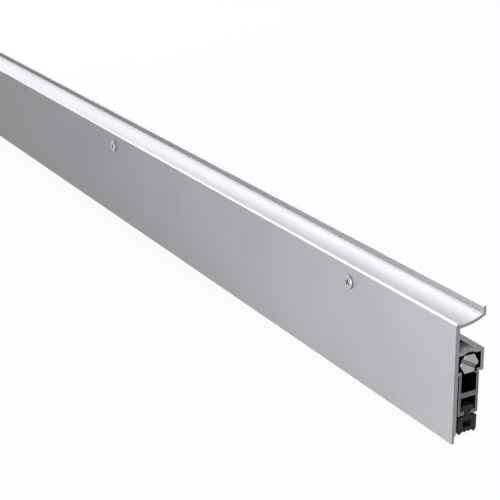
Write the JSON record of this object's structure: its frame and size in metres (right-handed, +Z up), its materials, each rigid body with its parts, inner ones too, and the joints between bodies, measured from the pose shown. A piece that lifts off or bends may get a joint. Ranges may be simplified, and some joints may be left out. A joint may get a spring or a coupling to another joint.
{
  "type": "automatic door bottom seal",
  "caption": "Aluminium extrusion with a sloping top tray that screws to a door's face; a sprung plunger in its end lowers a rubber seal on a drop bar to the floor as the door shuts.",
  "frame": {"origin": "on the door's face (the outer face of the profile's rear wall), at mid length and at the height of the plunger's axis", "axes": "+X along the profile towards the plunger end, +Y out of the back of the profile into the door, +Z up the door"},
  "size_m": [0.762, 0.0333, 0.0669],
  "materials": {
    "mill_aluminium": "satin anodised extrusion",
    "zinc_steel": "zinc plated",
    "black_nylon": "moulded",
    "rivet_aluminium": "bright",
    "turned_brass": "turned",
    "spring_steel": "rolled strip",
    "black_rubber": "extruded"
  },
  "bodies": {
    "housing": {"housing_profile": "mill_aluminium", "fixing_screws": "zinc_steel", "plunger_bush": "black_nylon", "rod_guide": "black_nylon", "anchor_block_near": "black_nylon", "anchor_block_far": "black_nylon", "anchor_pins": "zinc_steel", "anchor_rivets": "rivet_aluminium"},
    "push_rod": {"push_rod": "zinc_steel", "rod_sleeve": "turned_brass", "slider_near": "black_nylon", "slider_far": "black_nylon", "slider_set_screws": "zinc_steel"},
    "plunger_guide": {"plunger_guide": "black_nylon"},
    "adjusting_screw": {"adjusting_screw": "zinc_steel", "retaining_clip": "zinc_steel"},
    "drop_bar": {"drop_bar": "mill_aluminium", "seal_strip": "black_rubber", "saddle_near": "black_nylon", "saddle_far": "black_nylon", "saddle_rivets": "rivet_aluminium", "leaf_spring_near": "spring_steel", "leaf_spring_far": "spring_steel"}
  },
  "joints": [
    {"name": "bar_drop", "type": "slide", "parent": "housing", "child": "drop_bar", "axis": [0, 0, -1], "range_m": [0, 0.012], "stiffness_N_per_m": 900, "springref_m": -0.012, "deforming": ["leaf_spring_near", "leaf_spring_far"]},
    {"name": "rod_push", "type": "slide", "parent": "housing", "child": "push_rod", "axis": [-1, 0, 0], "range_m": [0, 0.006]},
    {"name": "plunger_advance", "type": "slide", "parent": "push_rod", "child": "plunger_guide", "axis": [1, 0, 0], "range_m": [-0.0016, 0.004]},
    {"name": "adjuster_turn", "type": "hinge", "parent": "plunger_guide", "child": "adjusting_screw", "pos_m": [0.373, -0.00815, 0], "axis": [1, 0, 0], "range_deg": [-720, 1800]}
  ],
  "couplings": [
    {"joint": "rod_push", "follows": "bar_drop", "ratio": 0.5},
    {"joint": "adjuster_turn", "follows": "plunger_advance", "rad_per_m": 7854}
  ]
}
